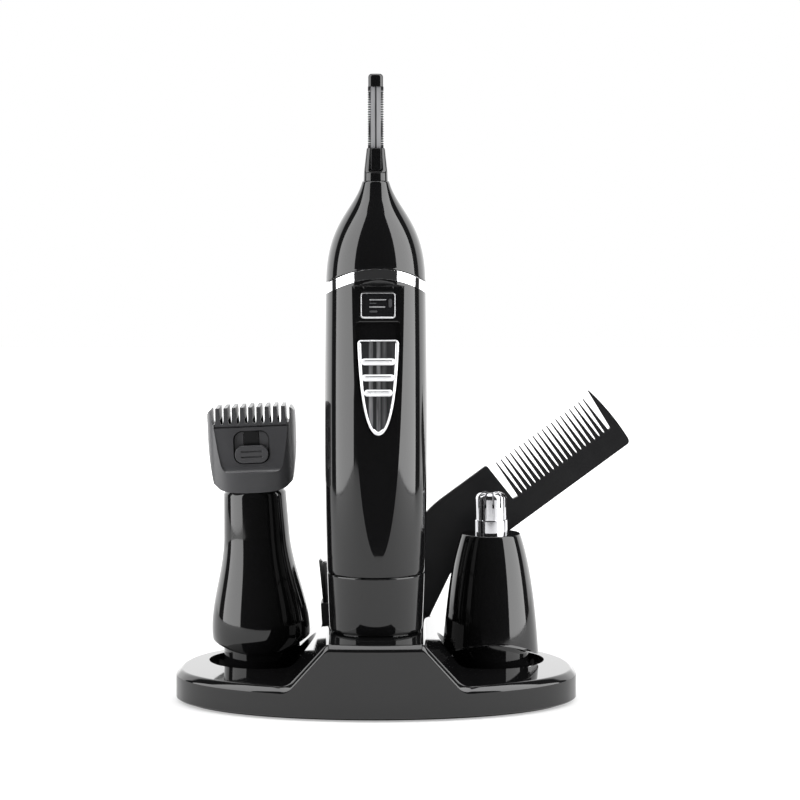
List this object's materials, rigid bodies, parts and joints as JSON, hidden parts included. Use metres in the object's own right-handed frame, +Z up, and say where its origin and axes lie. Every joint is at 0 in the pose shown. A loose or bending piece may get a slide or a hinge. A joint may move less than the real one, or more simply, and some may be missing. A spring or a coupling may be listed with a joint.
{
  "type": "nose hair trimmer",
  "caption": "Battery grooming trimmer on an oval stand, with a slide switch, nose, eyebrow and beard heads, a guide comb, a hair comb and a cleaning brush.",
  "frame": {"origin": "middle of the stand's footprint, on the surface it stands on", "axes": "+Z up along the handle, +X to the right as the switch faces the viewer, +Y to the back"},
  "size_m": [0.122, 0.07, 0.165],
  "materials": {
    "gloss_black": "polished",
    "satin_grey": "satin",
    "matte_black": "satin",
    "pad_rubber": "matte",
    "bright_steel": "ground",
    "chrome_trim": "polished",
    "lens": "clear smoked",
    "lamp_white": "gloss",
    "white_plastic": "satin",
    "cell_jacket": "satin",
    "plated_steel": "plated",
    "button_plastic": "brushed look",
    "brass": "plain",
    "bristle": "fibre"
  },
  "bodies": {
    "stand": {"stand_base": "gloss_black", "stand_bottom_plate": "matte_black", "anti_slip_pad": "pad_rubber", "stand_screws": "bright_steel"},
    "handle": {"handle_barrel": "gloss_black", "trim_ring": "chrome_trim", "lamp_frame": "chrome_trim", "lamp_lens": "lens", "led": "lamp_white", "seal_ring": "pad_rubber", "chassis": "white_plastic", "battery_cell": "cell_jacket", "positive_contact": "plated_steel", "negative_strip": "plated_steel", "switch_strip": "plated_steel", "motor_can": "plated_steel"},
    "battery_cap": {"battery_cap": "gloss_black", "cap_contact": "plated_steel", "battery_spring": "plated_steel"},
    "switch": {"slide_button": "button_plastic", "button_trim": "chrome_trim", "switch_slider": "brass"},
    "motor_rotor": {"motor_shaft": "plated_steel", "drive_coupling": "white_plastic"},
    "brow_head": {"brow_housing": "gloss_black", "brow_carrier": "matte_black", "brow_fixed_blades": "bright_steel", "brow_tip_cap": "gloss_black"},
    "brow_cutter": {"brow_moving_blade": "bright_steel", "brow_drive_rod": "white_plastic"},
    "nose_head": {"nose_housing": "gloss_black", "nose_guard": "chrome_trim"},
    "nose_cutter": {"nose_rotor": "bright_steel", "nose_shaft": "white_plastic"},
    "beard_head": {"beard_housing": "gloss_black", "beard_blade_block": "matte_black", "beard_fixed_blade": "bright_steel"},
    "beard_cutter": {"beard_moving_blade": "bright_steel", "beard_drive_lever": "white_plastic"},
    "guide": {"guide_comb": "satin_grey"},
    "guide_latch": {"guide_latch": "satin_grey"},
    "comb": {"hair_comb": "matte_black"},
    "brush": {"brush_handle": "matte_black", "brush_bristles": "bristle"}
  },
  "joints": [
    {"name": "handle_lift", "type": "slide", "parent": "stand", "child": "handle", "axis": [0, 0, 1], "range_m": [0, 0.045]},
    {"name": "cap_twist", "type": "hinge", "parent": "handle", "child": "battery_cap", "pos_m": [0, -0.006, 0.03], "axis": [0, 0, 1], "range_deg": [-30, 0]},
    {"name": "switch_slide", "type": "slide", "parent": "handle", "child": "switch", "axis": [0, 0, 1], "range_m": [0, 0.0042]},
    {"name": "motor_spin", "type": "hinge", "parent": "handle", "child": "motor_rotor", "pos_m": [0, -0.006, 0.1], "axis": [0, 0, 1], "continuous": true},
    {"name": "brow_pull", "type": "slide", "parent": "handle", "child": "brow_head", "axis": [0, 0, 1], "range_m": [0, 0.03]},
    {"name": "brow_stroke", "type": "slide", "parent": "brow_head", "child": "brow_cutter", "axis": [0, 0, 1], "range_m": [-0.0005, 0.0005]},
    {"name": "nose_lift", "type": "slide", "parent": "stand", "child": "nose_head", "axis": [0, 0, 1], "range_m": [0, 0.04]},
    {"name": "nose_spin", "type": "hinge", "parent": "nose_head", "child": "nose_cutter", "pos_m": [0.0307, 0.012, 0.03], "axis": [0, 0, 1], "continuous": true},
    {"name": "beard_lift", "type": "slide", "parent": "stand", "child": "beard_head", "axis": [-0.0419, 0, 0.9991], "range_m": [0, 0.04]},
    {"name": "beard_stroke", "type": "slide", "parent": "beard_head", "child": "beard_cutter", "axis": [0.9991, 0, 0.0419], "range_m": [-0.0008, 0.0008]},
    {"name": "guide_off", "type": "slide", "parent": "beard_head", "child": "guide", "axis": [-0.0419, 0, 0.9991], "range_m": [0, 0.025]},
    {"name": "latch_slide", "type": "slide", "parent": "guide", "child": "guide_latch", "axis": [-0.0419, 0, 0.9991], "range_m": [0, 0.002]},
    {"name": "comb_out", "type": "slide", "parent": "stand", "child": "comb", "axis": [0.4337, 0, 0.9011], "range_m": [0, 0.03]},
    {"name": "brush_out", "type": "slide", "parent": "stand", "child": "brush", "axis": [-0.0645, 0, 0.9979], "range_m": [0, 0.025]}
  ]
}
